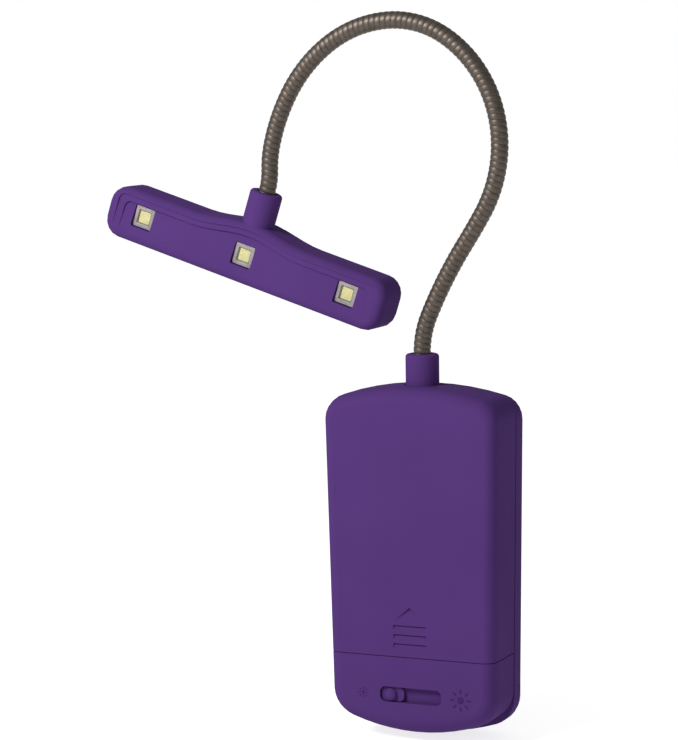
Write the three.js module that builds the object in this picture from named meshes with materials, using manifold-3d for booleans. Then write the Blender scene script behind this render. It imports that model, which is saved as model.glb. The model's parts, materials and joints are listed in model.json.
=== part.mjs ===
// A clip-on book light: a flat battery body, a gooseneck and a bar with three lamps.
// Lengths are millimetres and +Z is up. The front faces -Y. The pieces are drawn with zero in the
// middle of the body's lowest edge, on the axis of the collar. The finished light then has its
// origin on the flat back of the housing, in the jaw of the clip.
import * as THREE from "three";
import { mergeVertices } from "three/addons/utils/BufferGeometryUtils.js";
import Module from "manifold-3d";

const wasm = await Module();
wasm.setup();

// Fits
const fitGap = 0.3; // between pieces that slot into or slide past each other
const seatGap = 0.05; // between faces that rest on each other
const overrun = 1; // how far a cutting shape runs past the face that it cuts
const bond = 0.2; // how far joined shapes run into each other
const weld = 0.00001; // vertices nearer than this are one
const leastCornerShare = 0.02; // of a corner's radius that is left however far inside its edge

// Battery body, outside. Its width, height and depth follow from the cells in it.
const bodyTaper = 1.3; // how much further out each side is at the top than at the bottom
const topBow = 3.5;
const bottomBow = 4.6;
const topCornerRadius = 5.6;
const bottomCornerRadius = 7;
const frontEdgeRadius = 2.2;
const lowEdgeRadius = 4.6; // of the front edge at the very bottom
const lowEdgeReach = 24; // height up to which the front edge is rounder
const topEdgeRadius = 4; // of the front edge at the very top
const topEdgeReach = 14; // from the top down to where the front edge is rounder
const shellWall = 1.3;
const coverLineHeight = 18.2;
const coverLineGap = 0.14;
const collarSetback = 9.5; // from the body's front back to the collar's axis

// Arrow and grip bars sunk into the front of the battery cover
const markDepth = 0.6;
const arrowTip = 29.8;
const arrowBase = 26.4;
const arrowHalfWidth = 3.9;
const gripBarHalfWidth = 4;
const gripBarHeight = 1.1;
const gripBarPitch = 2.1;
const gripBars = 3;
const gripBarBottom = 20.25;

// Clip on the back
const clipGap = 0.4;
const clipThickness = 5.8;
const clipEdgeRadius = 2.2;
const clipDrop = 0.6; // how much lower the clip's top is than the housing's
const clipTail = 1.9; // how much lower the clip's bottom is than the housing's
const clipRim = 2;
const clipPocketDepth = 3.1;
const clipPocketBottom = 23;
const jawOriginHeight = 20; // of the light's origin over the body's lowest edge
const clipMaxOpening = THREE.MathUtils.degToRad(12);
const pinRadius = 0.8;
const pinBoreRadius = 1;
const pinDrop = 5.2; // from the top of the body down to the pin
const pinLength = 24.4;
const pinToJaw = 1.4; // from the clip's inner face to the pin's axis
const earRadius = 1.5;
const earWidth = 2.6;
const earSpacing = 13.8; // between the middles of the two ears
const knuckleWidth = 3.6;
const knuckleHeight = 3.8;
const leadInHeight = 3;
const leadInDepth = 0.8;

// Spring of the clip
const springWire = 0.5;
const springRadius = 1.2;
const springTurns = 6.5;
const springPitch = 1.2;
const springLeg = 11;

// Grip pads in the jaw
const padWidth = 22;
const padHeight = 9;
const padThickness = 0.65;
const padStand = 0.1; // how far a pad stands out of its plate
const padCorner = 1.5;
const padBottom = 3.6;
const padGrooves = 4;
const padGrooveWidth = 0.7;
const padGrooveDepth = 0.25;

// Chassis behind the cover, with the battery tray and the collar
const plateThickness = 1.2;
const trayRise = 3.8; // from the cover line up to the tray's lower end
const roomAboveTray = 6.2;
const trayWall = 1.7;
const trayEndWall = 1.4;
const dividerHeight = 2;
const dividerWidth = 0.7;
const railWidth = 1.2;
const railDepth = 0.6; // how deep the cover's rails sit in the grooves of the tray
const railInset = 8; // from the tray's ends to the rails' ends
const railSetback = 3; // from the tray's floor forward to the rails
const collarRadius = 3.85;
const collarHeight = 7;
const collarEdge = 0.7;

// Cells and contacts
const cellRadius = 5.15;
const cellLength = 44.5;
const cellSpace = 0.8; // between neighbouring cells
const cellSideRoom = 0.45;
const cellFrontRoom = 0.25;
const cellProud = 0.3; // how far the cells stand out of the tray's walls
const springRoom = 5.9; // for the springs and contacts at the cells' ends
const nubRadius = 2.4;
const nubHeight = 0.9;
const cellEdge = 0.5;
const contactThickness = 0.4;
const contactWidth = 9;
const contactHeight = 6.4;
const contactRound = 1;
const contactSpringWire = 0.5;
const contactSpringWide = 3.2;
const contactSpringNarrow = 2.2;
const contactSpringTurns = 3.25;

// Switch with its sliding knob
const switchHeight = 9.3; // of the middle of the slot
const slotHalfLength = 7.5;
const slotHalfHeight = 1.75;
const slotCorner = 1.3;
const knobTravel = 9.2;
const knobRadius = 1.45;
const knobDomeShare = 0.6; // of the knob's radius that its dome is high
const knobStand = 0.5; // how far the knob stands out of the body's face
const knobOffset = 0.4; // from the middle of its block towards the rest end
const carrierSink = 0.7; // how far the knob's block lies under the body's face
const skirtThickness = 0.8;
const skirtOverlap = 0.4;
const skirtCorner = 1.2;
const leverWidth = 1.8;
const leverHeight = 2;
const leverLength = 2.6;
const bossDepth = 1.9;
const bossWall = 0.7;
const leverGripShare = 0.7; // of the boss's depth that the lever reaches into
const bossHalfWidth = 2.4;
const switchHalfLength = 9.6;
const switchBodyHeight = 6;
const switchBodyDepth = 3.4;
const switchWindowDepth = 1.3;
const boardThickness = 1.2;
const boardHalfWidth = 11.4;
const boardBelow = 5.1; // how far the board reaches below the middle of the slot
const boardAbove = 6.7;
const postRadius = 1.5;
const postSpacing = 17;

// Screws
const screwShankRadius = 0.75;
const screwHeadRadius = 1.8;
const screwHeadHeight = 1;
const screwLength = 8.5;
const headScrewLength = 6;
const screwBossRadius = 2.1;
const bodyScrewInset = 5.7; // from the body's sides
const bodyScrewDrop = 0.6; // from the cover line down to the screws' bosses

// Gooseneck
const neckRadius = 2;
const neckRoot = 1.74; // radius at the bottom of the grooves between the ribs
const neckBore = 1;
const neckRibs = 105;
const neckSides = 8;
const ribsPerBoreRing = 5;
const neckJoints = 8;
const neckMouth = 2.35; // radius of the bore in each collar
const neckHalfSwing = THREE.MathUtils.degToRad(15); // half of the most that one joint turns
const neckJointGap = 0.15;
// Its curve in the photographed pose, from the body to the head: arcs with their share of the
// length, and how far each turns, in degrees, to the left.
const neckArcs = [
  { lengthShare: 0.06, turn: -23.5 },
  { lengthShare: 0.125, turn: -10 },
  { lengthShare: 0.053, turn: 3 },
  { lengthShare: 0.092, turn: 25.5 },
  { lengthShare: 0.099, turn: 29 },
  { lengthShare: 0.105, turn: 31.5 },
  { lengthShare: 0.102, turn: 38 },
  { lengthShare: 0.102, turn: 31 },
  { lengthShare: 0.099, turn: 25 },
  { lengthShare: 0.09, turn: 17.5 },
  { lengthShare: 0.038, turn: 13 },
  { lengthShare: 0.035, turn: -18 },
];
const ferruleRadius = 2.8;
const ferruleHeight = 1.8;
const ferruleRoom = 3.1;
const neckInBody = 10.2;
const ferruleSeat = 8; // from the collar's mouth down to the shoulder that holds the ferrule

// Lamp head, in its own frame: +X along the bar, +Z towards the collar
const headLength = 74.2;
const headBelow = 6.7;
const headAbove = 5.8;
const headDepth = 11.8;
const headSetback = 4.4; // from the head's face back to its collar's axis
const headClearance = 7.95; // from the head's near end to the axis of the body's collar
const headTopCorner = 4.4;
const headBottomCorner = 4.2;
const headFrontEdge = 2.2;
const headBackEdge = 2.4;
const headWall = 1.4;
const headFrontWall = 2.4;
const headBackThickness = 2.8;
const humpHeight = 1.9;
const humpHalfWidth = 15;
const headCollarTop = 15.3;
const headLineGap = 0.15;
const stepDepth = 0.5; // of each step, where it is highest
const outerStepInset = 1.6;
const outerStepEndInset = 2.6;
const innerStepInset = 3;
const innerStepEndInset = 4.4;
const stepCorner = 1.5;
const stepFadeHeight = -4.5; // where the steps run out on the face
const lampPitch = 27.3;
const windowSize = 5.3;
const windowCorner = 0.4;
const lampSize = 5;
const lampDepth = 2.2;
const lampSink = 1; // from the head's foremost plane to the lamp's frame
const dishSize = 3.3;
const dishDepth = 1;
const phosphorSize = 2.9;
const phosphorThickness = 0.5;
const headBoardThickness = 1;
const headBoardEndRoom = 3.2; // between the board's ends and the head's walls
const headBoardHalfHeight = 4.2;
const headScrewSpacing = 30;
const lipDepth = 1.1;
const lipThickness = 0.9;

// Sizes that follow from the cells and what lies round them
const cellPitch = 2 * cellRadius + cellSpace;
const trayHalfWidth = cellPitch + cellRadius + cellSideRoom;
const trayDepth = 2 * cellRadius - cellProud;
const trayBottom = coverLineHeight + trayRise;
const trayTop = trayBottom + cellLength + springRoom;
const bodyHeight = trayTop + trayEndWall + roomAboveTray;
const bodyBottomWidth = 2 * (trayHalfWidth + trayWall + fitGap + shellWall);
const bodyTopWidth = bodyBottomWidth + 2 * bodyTaper;
const housingDepth = shellWall + cellFrontRoom + 2 * cellRadius + fitGap + plateThickness;

// Places that follow from the sizes
const frontY = -collarSetback;
const coverInnerY = frontY + shellWall;
const housingBackY = frontY + housingDepth;
const plateFrontY = housingBackY - plateThickness;
const jawY = housingBackY + clipGap;
const clipBackY = jawY + clipThickness;
const pinZ = bodyHeight - pinDrop;
const pinY = jawY + pinToJaw;
const collarTopZ = bodyHeight + collarHeight;
const bodyScrewX = bodyBottomWidth / 2 - bodyScrewInset;
const bodyScrewHeight = coverLineHeight - bodyScrewDrop - screwBossRadius;
const boardBottom = switchHeight - boardBelow;
const boardTop = switchHeight + boardAbove;
const headFrontY = -headSetback;
const headBackY = headFrontY + headDepth;
const headSplitY = headBackY - headBackThickness;
const headBoardHalfLength = headLength / 2 - headWall - headBoardEndRoom;

// Materials
const paint = (color, roughness, metalness = 0) =>
  new THREE.MeshStandardMaterial({ color, roughness, metalness });
const purple = paint(0x5a3a80, 0.6);
const neckMetal = paint(0x5e554c, 0.4, 0.9);
const steel = paint(0xb9bbc0, 0.3, 1);
const rubber = paint(0x2c2238, 0.85);
const boardGreen = paint(0x1f5a38, 0.5);
const switchBlack = paint(0x1c1c20, 0.5);
const cellSleeve = paint(0x6d7076, 0.35, 0.3);
const lampFrame = paint(0xc9c7cc, 0.3);
const phosphorYellow = paint(0xf2eab0, 0.5);

// Makes a closed solid from a geometry.
function solidOf(geometry) {
  const bare = geometry.index ? geometry.toNonIndexed() : geometry.clone();
  bare.deleteAttribute("normal");
  bare.deleteAttribute("uv");
  const merged = mergeVertices(bare, weld);
  return new wasm.Manifold(
    new wasm.Mesh({
      numProp: 3,
      vertProperties: new Float32Array(merged.attributes.position.array),
      triVerts: new Uint32Array(merged.index.array),
    })
  );
}

// Turns a solid back into a geometry.
function geometryOf(solid) {
  const mesh = solid.getMesh();
  const geometry = new THREE.BufferGeometry();
  geometry.setAttribute("position", new THREE.BufferAttribute(mesh.vertProperties, 3));
  geometry.setIndex(new THREE.BufferAttribute(mesh.triVerts, 1));
  geometry.computeVertexNormals();
  return geometry;
}

// Adds a named piece to a group.
function piece(parent, name, shape, material) {
  const geometry = shape.isBufferGeometry ? shape : geometryOf(shape);
  const mesh = new THREE.Mesh(geometry, material);
  mesh.name = name;
  parent.add(mesh);
  return mesh;
}

// A box between two corners.
function box(x0, x1, y0, y1, z0, z1) {
  const geometry = new THREE.BoxGeometry(x1 - x0, y1 - y0, z1 - z0);
  geometry.translate((x0 + x1) / 2, (y0 + y1) / 2, (z0 + z1) / 2);
  return solidOf(geometry);
}

// A round bar between two points.
function bar(radius, from, to, sides = 24) {
  const start = new THREE.Vector3(...from);
  const axis = new THREE.Vector3(...to).sub(start);
  const geometry = new THREE.CylinderGeometry(radius, radius, axis.length(), sides);
  const up = new THREE.Vector3(0, 1, 0);
  geometry.applyQuaternion(new THREE.Quaternion().setFromUnitVectors(up, axis.clone().normalize()));
  geometry.translate(...start.addScaledVector(axis, 0.5).toArray());
  return solidOf(geometry);
}

// Joins rings of equally many points into a closed solid, with a flat cap at each end.
// The rings' outlines are drawn in X and Z, and their order runs from front to back.
function loft(rings) {
  const count = rings[0].length;
  const positions = rings.flat().flatMap((p) => [p.x, p.y, p.z]);
  const index = [];
  for (let r = 0; r + 1 < rings.length; r += 1) {
    for (let i = 0; i < count; i += 1) {
      const a = r * count + i;
      const b = r * count + ((i + 1) % count);
      index.push(a, b, a + count, b, b + count, a + count);
    }
  }
  const flat = rings[0].map((p) => new THREE.Vector2(p.x, p.z));
  const last = (rings.length - 1) * count;
  for (const [a, b, c] of THREE.ShapeUtils.triangulateShape(flat, [])) {
    index.push(a, c, b);
    index.push(last + a, last + b, last + c);
  }
  for (let i = 0; i < index.length; i += 3) {
    [index[i + 1], index[i + 2]] = [index[i + 2], index[i + 1]];
  }
  const geometry = new THREE.BufferGeometry();
  geometry.setAttribute("position", new THREE.Float32BufferAttribute(positions, 3));
  geometry.setIndex(index);
  const solid = solidOf(geometry);
  return solid.volume() > 0 ? solid : solidOf(flipped(geometry));
}

// The same geometry with its faces turned the other way.
function flipped(geometry) {
  const turned = geometry.clone();
  const index = turned.index.array;
  for (let i = 0; i < index.length; i += 3) {
    [index[i + 1], index[i + 2]] = [index[i + 2], index[i + 1]];
  }
  return turned;
}

// A plate of an outline between two depths. Its front and back edges are rounded.
// The outline is a function that gives the points for a distance inside the edge.
function plate(outline, front, back, frontRound = 0, backRound = 0, steps = 4) {
  const rings = [];
  const ring = (inset, y) => rings.push(outline(inset).map((p) => new THREE.Vector3(p.x, y, p.y)));
  const quarter = Math.PI / 2 / steps;
  for (let i = 0; frontRound > 0 && i < steps; i += 1) {
    const angle = i * quarter;
    ring(frontRound * (1 - Math.sin(angle)), front + frontRound * (1 - Math.cos(angle)));
  }
  ring(0, front + frontRound);
  ring(0, back - backRound);
  for (let i = steps - 1; backRound > 0 && i >= 0; i -= 1) {
    const angle = i * quarter;
    ring(backRound * (1 - Math.sin(angle)), back - backRound * (1 - Math.cos(angle)));
  }
  return loft(rings);
}

// A prism along X of an outline given in Y and Z.
function prismX(points, x0, x1) {
  const outline = new THREE.Shape(points.map(([y, z]) => new THREE.Vector2(y, z)));
  const geometry = new THREE.ExtrudeGeometry(outline, { depth: x1 - x0, bevelEnabled: false });
  geometry.applyMatrix4(new THREE.Matrix4().set(0, 0, 1, x0, 1, 0, 0, 0, 0, 1, 0, 0, 0, 0, 0, 1));
  return solidOf(geometry);
}

// Points on an arc, both ends included. They can lie inside it by a distance that goes by the height.
function arcPoints(x, z, radius, from, to, steps, insetAt = () => 0) {
  return Array.from({ length: steps + 1 }, (_, i) => {
    const angle = from + ((to - from) * i) / steps;
    const reach = radius - insetAt(z + radius * Math.sin(angle));
    return new THREE.Vector2(x + reach * Math.cos(angle), z + reach * Math.sin(angle));
  });
}

// A rectangle with round corners, as outline function of its inset.
function roundedRectangle(x0, x1, z0, z1, radius, steps = 4) {
  return (inset) => {
    const r = Math.max(radius - inset, radius * leastCornerShare);
    const quarter = Math.PI / 2;
    return [
      ...arcPoints(x1 - radius, z0 + radius, r, -quarter, 0, steps),
      ...arcPoints(x1 - radius, z1 - radius, r, 0, quarter, steps),
      ...arcPoints(x0 + radius, z1 - radius, r, quarter, 2 * quarter, steps),
      ...arcPoints(x0 + radius, z0 + radius, r, 2 * quarter, 3 * quarter, steps),
    ];
  };
}

// The centre of a corner arc that touches a body side and the bowed end next to it.
function bodyCorner(endCentre, endRadius, cornerRadius, upper) {
  const slope = (bodyTopWidth - bodyBottomWidth) / 2 / bodyHeight;
  const start = bodyBottomWidth / 2 - cornerRadius * Math.hypot(1, slope);
  const reach = endRadius - cornerRadius;
  const a = 1 + slope * slope;
  const b = 2 * (start * slope - endCentre);
  const c = start * start + endCentre * endCentre - reach * reach;
  const root = Math.sqrt(b * b - 4 * a * c);
  const z = (-b + (upper ? root : -root)) / (2 * a);
  const x = start + slope * z;
  return { x, z, angle: Math.atan2(z - endCentre, x) };
}

// The body's outline, seen from the front, a given distance inside its edge. Two other distances
// take over towards the bottom end and the top end.
function bodyOutline(inset, lowInset = inset, topInset = inset) {
  const lean = Math.atan((bodyTopWidth - bodyBottomWidth) / 2 / bodyHeight);
  const topRadius = (bodyTopWidth ** 2 / 4 + topBow ** 2) / (2 * topBow);
  const bottomRadius = (bodyBottomWidth ** 2 / 4 + bottomBow ** 2) / (2 * bottomBow);
  const topCentre = bodyHeight - topRadius;
  const top = bodyCorner(topCentre, topRadius, topCornerRadius, true);
  const bottom = bodyCorner(bottomRadius, bottomRadius, bottomCornerRadius, false);
  const share = (distance, reach) => Math.max(0, 1 - distance / reach) ** 2;
  const insetAt = (height) =>
    inset +
    (lowInset - inset) * share(height, lowEdgeReach) +
    (topInset - inset) * share(bodyHeight - height, topEdgeReach);
  const right = [
    ...arcPoints(0, bottomRadius, bottomRadius, -Math.PI / 2, bottom.angle, 5, insetAt),
    ...arcPoints(bottom.x, bottom.z, bottomCornerRadius, bottom.angle, -lean, 6, insetAt).slice(1),
    ...arcPoints(top.x, top.z, topCornerRadius, -lean, top.angle, 5, insetAt),
    ...arcPoints(0, topCentre, topRadius, top.angle, Math.PI / 2, 4, insetAt).slice(1),
  ];
  const left = right.slice(1, -1).reverse();
  return [...right, ...left.map((p) => new THREE.Vector2(-p.x, p.y))];
}

// How far a rounded edge lies inside its outline, at a depth behind the face.
function edgeInset(radius, depth) {
  return depth < radius ? radius - Math.sqrt(radius ** 2 - (radius - depth) ** 2) : 0;
}

// A solid of the body's outline, with the front edge rounded more towards both ends.
function bodySolid(inset, front, back) {
  const low = lowEdgeRadius - inset;
  const steps = 7;
  const depths = Array.from({ length: steps + 1 }, (_, i) => low * (1 - Math.cos((Math.PI / 2 / steps) * i)));
  const insetOf = (radius, depth) => inset + edgeInset(radius - inset, depth);
  const rings = [...depths, back - front].map((depth) => {
    const insets = [frontEdgeRadius, lowEdgeRadius, topEdgeRadius].map((radius) => insetOf(radius, depth));
    return bodyOutline(...insets).map((p) => new THREE.Vector3(p.x, front + depth, p.y));
  });
  return loft(rings);
}

// A ribbed or round tube along a curve. Each ring is a place on the curve and a radius, and the
// rings close on themselves through the bore.
function tubeOfRings(rings, curve, sides) {
  const positions = [];
  for (const ring of rings) {
    const { point, side, up } = curve(ring.at);
    for (let i = 0; i < sides; i += 1) {
      const angle = (2 * Math.PI * (i + 0.5)) / sides;
      const place = point.clone();
      place.addScaledVector(side, ring.radius * Math.cos(angle));
      place.addScaledVector(up, ring.radius * Math.sin(angle));
      positions.push(place.x, place.y, place.z);
    }
  }
  const index = [];
  for (let r = 0; r < rings.length; r += 1) {
    for (let i = 0; i < sides; i += 1) {
      const a = r * sides + i;
      const b = r * sides + ((i + 1) % sides);
      const c = ((r + 1) % rings.length) * sides + i;
      const d = ((r + 1) % rings.length) * sides + ((i + 1) % sides);
      index.push(a, b, c, b, d, c);
    }
  }
  const geometry = new THREE.BufferGeometry();
  geometry.setAttribute("position", new THREE.Float32BufferAttribute(positions, 3));
  geometry.setIndex(index);
  const solid = solidOf(geometry);
  return solid.volume() > 0 ? solid : solidOf(flipped(geometry));
}

// A wire of round section through a list of points, closed at both ends.
function wire(points, radius, sides = 5) {
  const positions = [];
  let side = new THREE.Vector3();
  points.forEach((point, i) => {
    const ahead = points[Math.min(i + 1, points.length - 1)];
    const behind = points[Math.max(i - 1, 0)];
    const along = ahead.clone().sub(behind).normalize();
    if (i === 0) {
      const nearX = Math.abs(along.x) > Math.abs(along.y);
      side = new THREE.Vector3(nearX ? 0 : 1, nearX ? 1 : 0, 0).cross(along);
    }
    side.addScaledVector(along, -side.dot(along)).normalize();
    const up = along.clone().cross(side);
    for (let s = 0; s < sides; s += 1) {
      const angle = (2 * Math.PI * s) / sides;
      const place = point.clone();
      place.addScaledVector(side, radius * Math.cos(angle));
      place.addScaledVector(up, radius * Math.sin(angle));
      positions.push(place.x, place.y, place.z);
    }
  });
  const index = [];
  for (let i = 0; i + 1 < points.length; i += 1) {
    for (let s = 0; s < sides; s += 1) {
      const a = i * sides + s;
      const b = i * sides + ((s + 1) % sides);
      index.push(a, b, a + sides, b, b + sides, a + sides);
    }
  }
  const last = (points.length - 1) * sides;
  for (let s = 1; s + 1 < sides; s += 1) {
    index.push(0, s + 1, s);
    index.push(last, last + s, last + s + 1);
  }
  const geometry = new THREE.BufferGeometry();
  geometry.setAttribute("position", new THREE.Float32BufferAttribute(positions, 3));
  geometry.setIndex(index);
  const solid = solidOf(geometry);
  return solid.volume() > 0 ? solid : solidOf(flipped(geometry));
}

// Says how near the turns of a coil come to each other, wire face to wire face.
function reportLeastGap(name, points, wireSize, stepsPerTurn) {
  let least = Infinity;
  for (let i = 0; i < points.length; i += 1) {
    for (let j = i + Math.round(stepsPerTurn / 2); j < points.length; j += 1) {
      least = Math.min(least, points[i].distanceTo(points[j]));
    }
  }
  console.log(`${name}: least gap between turns ${(least - wireSize).toFixed(2)} mm`);
}

// A screw along +Y with its head at the back. Its head's outer face is at the origin.
function screw(length) {
  const profile = [
    [0, 0],
    [screwHeadRadius, 0],
    [screwHeadRadius, -screwHeadHeight / 2],
    [screwShankRadius, -screwHeadHeight],
    [screwShankRadius, -length],
    [0, -length],
  ].map(([r, y]) => new THREE.Vector2(r, y));
  return solidOf(new THREE.LatheGeometry(profile.reverse(), 12));
}

// The hole for a screw that comes from the back, to be cut from what it clamps.
function screwHole(x, y, z, length) {
  const mouth = screwHeadRadius + fitGap;
  const head = bar(mouth, [x, y - screwHeadHeight - fitGap, z], [x, y + overrun, z], 16);
  return head.add(bar(screwShankRadius + fitGap, [x, y - length - fitGap, z], [x, y, z], 12));
}

const bookLight = new THREE.Group();
bookLight.position.set(0, -housingBackY, -jawOriginHeight);

// The hollow housing that the cover and the switch part are cut from.
function housingShell() {
  const room = bodySolid(shellWall, coverInnerY, housingBackY + overrun);
  return bodySolid(0, frontY, housingBackY).subtract(room);
}

// A box that holds everything of the body between two heights.
function layer(z0, z1) {
  return box(-bodyTopWidth, bodyTopWidth, frontY - overrun, clipBackY + overrun, z0, z1);
}

// Cover of the battery tray: it slides up on two rails, past the collar.
function addBatteryCover() {
  let cover = housingShell().intersect(layer(coverLineHeight + coverLineGap / 2, bodyHeight + overrun));
  const notch = collarRadius + fitGap;
  const above = bodyHeight + overrun;
  const below = bodyHeight - topCornerRadius;
  cover = cover.subtract(bar(notch, [0, 0, below], [0, 0, above], 32));
  cover = cover.subtract(box(-notch, notch, 0, housingBackY + overrun, below, above));
  piece(bookLight, "battery_cover", cover.add(coverRails()).subtract(coverMarks()), purple);
}

// The two rails inside the cover, from the middle of its side walls into the tray's grooves.
function coverRails() {
  const tip = trayHalfWidth + trayWall - railDepth + fitGap / 2;
  const back = plateFrontY - railSetback;
  const front = back - railWidth;
  const bottom = trayBottom + railInset;
  const top = trayTop - railInset;
  const reach = plate((inset) => bodyOutline(shellWall / 2 + inset), front, back);
  const between = box(-tip, tip, front - overrun, back + overrun, bottom - overrun, top + overrun);
  return reach.intersect(layer(bottom, top)).subtract(between);
}

// The arrow and the bars that a thumb pushes to slide the cover. All are deepest at their tops and
// run out towards their bottoms.
function coverMarks() {
  const front = frontY - overrun;
  const wedge = (bottom, top, halfWidth) =>
    prismX(
      [
        [front, bottom],
        [frontY, bottom],
        [frontY + markDepth, top],
        [front, top],
      ],
      -halfWidth,
      halfWidth
    );
  const triangle = [
    new THREE.Vector2(-arrowHalfWidth, arrowBase),
    new THREE.Vector2(arrowHalfWidth, arrowBase),
    new THREE.Vector2(0, arrowTip),
  ];
  const arrow = plate(() => triangle, front, frontY + markDepth);
  let marks = arrow.intersect(wedge(arrowBase, arrowTip, arrowHalfWidth));
  for (let i = 0; i < gripBars; i += 1) {
    const bottom = gripBarBottom + i * gripBarPitch;
    marks = marks.add(wedge(bottom, bottom + gripBarHeight, gripBarHalfWidth));
  }
  return marks;
}

// Lower front with the slot of the switch. Two screws from the back hold it.
function addSwitchCover() {
  let cover = housingShell().intersect(layer(-overrun, coverLineHeight - coverLineGap / 2));
  const slot = roundedRectangle(
    -slotHalfLength,
    slotHalfLength,
    switchHeight - slotHalfHeight,
    switchHeight + slotHalfHeight,
    slotCorner
  );
  for (const side of [-1, 1]) {
    const x = side * bodyScrewX;
    const boss = bar(
      screwBossRadius,
      [x, coverInnerY - bond, bodyScrewHeight],
      [x, plateFrontY - fitGap, bodyScrewHeight]
    );
    cover = cover.add(boss).subtract(screwHole(x, housingBackY, bodyScrewHeight, screwLength));
  }
  cover = cover.subtract(plate(slot, frontY - overrun, coverInnerY + overrun));
  piece(bookLight, "switch_cover", cover, purple);
}

// Chassis: back plate, battery tray, collar, ears of the hinge and posts of the board.
function addChassis() {
  const outline = (inset) => bodyOutline(shellWall + fitGap + inset);
  let chassis = plate(outline, plateFrontY, housingBackY);
  const trayFrontY = plateFrontY - trayDepth;
  const outerX = trayHalfWidth + trayWall;
  const trayFoot = trayBottom - trayEndWall;
  const trayHead = trayTop + trayEndWall;
  const tray = box(-outerX, outerX, trayFrontY, plateFrontY + bond, trayFoot, trayHead);
  chassis = chassis.add(tray.intersect(plate(outline, trayFrontY - overrun, housingBackY)));
  chassis = chassis.subtract(
    box(-trayHalfWidth, trayHalfWidth, trayFrontY - overrun, plateFrontY, trayBottom, trayTop)
  );
  const grooveX = trayHalfWidth + trayWall - railDepth - fitGap / 2;
  const grooveY = plateFrontY - railSetback;
  const grooveBottom = trayBottom + trayWall;
  const grooveTop = trayHead + overrun;
  for (const side of [-1, 1]) {
    const [x0, x1] = [side * grooveX, side * (outerX + overrun)].sort((a, b) => a - b);
    chassis = chassis.subtract(
      box(x0, x1, grooveY - railWidth - fitGap, grooveY + fitGap, grooveBottom, grooveTop)
    );
    const divider = (side * cellPitch) / 2;
    chassis = chassis.add(
      box(
        divider - dividerWidth / 2,
        divider + dividerWidth / 2,
        plateFrontY - dividerHeight,
        plateFrontY + bond,
        trayBottom - bond,
        trayTop + bond
      )
    );
  }
  chassis = chassis.add(collarSolid(trayTop + bond, collarTopZ));
  const root = box(-collarRadius, collarRadius, 0, housingBackY, trayTop + bond, bodyHeight);
  chassis = chassis.add(root.intersect(plate(bodyOutline, 0, housingBackY)));
  chassis = chassis.subtract(collarBore(collarTopZ, ferruleSeat, collarTopZ - trayHead - bond));
  for (const side of [-1, 1]) {
    const middle = (side * earSpacing) / 2;
    const ear = bar(earRadius, [middle - earWidth / 2, pinY, pinZ], [middle + earWidth / 2, pinY, pinZ]).add(
      box(
        middle - earWidth / 2,
        middle + earWidth / 2,
        housingBackY - bond,
        pinY,
        pinZ - earRadius,
        pinZ + earRadius
      )
    );
    chassis = chassis.add(ear);
    const post = (side * postSpacing) / 2;
    const postZ = (boardBottom + boardTop) / 2;
    chassis = chassis.add(
      bar(postRadius, [post, boardBackY() + seatGap, postZ], [post, plateFrontY + bond, postZ], 16)
    );
    chassis = chassis.subtract(screwHole(side * bodyScrewX, housingBackY, bodyScrewHeight, screwLength));
  }
  chassis = chassis.subtract(pinBore());
  chassis = chassis.subtract(padRecess(housingBackY, 1));
  piece(bookLight, "chassis", chassis, purple);
}

// A round collar with a rounded mouth, around the Z axis.
function collarSolid(bottom, top) {
  const profile = [
    new THREE.Vector2(0, bottom),
    new THREE.Vector2(collarRadius, bottom),
    ...arcPoints(collarRadius - collarEdge, top - collarEdge, collarEdge, 0, Math.PI / 2, 3),
    new THREE.Vector2(0, top),
  ];
  const geometry = new THREE.LatheGeometry(profile, 32);
  geometry.rotateX(Math.PI / 2);
  return solidOf(geometry);
}

// The bore of a collar: the neck's passage and, below a shoulder, the room of its ferrule.
function collarBore(top, shoulder, depth) {
  const passage = bar(neckMouth, [0, 0, top - depth], [0, 0, top + overrun], 24);
  return passage.add(bar(ferruleRoom, [0, 0, top - depth], [0, 0, top - shoulder], 24));
}

// The bore for the hinge pin, through ears and knuckles.
function pinBore() {
  const end = pinLength / 2 + overrun;
  return bar(pinBoreRadius, [-end, pinY, pinZ], [end, pinY, pinZ], 16);
}

// Where the board's back lies: the switch and its lever stand between it and the knob.
function boardBackY() {
  const knobBack = coverInnerY + fitGap + skirtThickness + bossDepth;
  return knobBack + fitGap + seatGap + switchBodyDepth + boardThickness;
}

// The seat of a grip pad in a plate face that looks along +Y or -Y.
function padRecess(faceY, direction) {
  const depth = padThickness - padStand + seatGap;
  const outline = roundedRectangle(
    -padWidth / 2 - fitGap,
    padWidth / 2 + fitGap,
    padBottom - fitGap,
    padBottom + padHeight + fitGap,
    padCorner
  );
  const ends = [faceY - direction * depth, faceY + direction * overrun].sort((a, b) => a - b);
  return plate(outline, ends[0], ends[1]);
}

// Rubber pads with cross grooves, one in each face of the jaw.
function addPad(name, faceY, direction) {
  const outer = faceY + direction * padStand;
  const inner = outer - direction * padThickness;
  const outline = roundedRectangle(-padWidth / 2, padWidth / 2, padBottom, padBottom + padHeight, padCorner);
  let pad = plate(outline, Math.min(inner, outer), Math.max(inner, outer));
  for (let i = 1; i <= padGrooves; i += 1) {
    const z = padBottom + (padHeight * i) / (padGrooves + 1);
    const ends = [outer - direction * padGrooveDepth, outer + direction * overrun].sort((a, b) => a - b);
    pad = pad.subtract(
      box(-padWidth, padWidth, ends[0], ends[1], z - padGrooveWidth / 2, z + padGrooveWidth / 2)
    );
  }
  piece(bookLight, name, pad, rubber);
}

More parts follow.
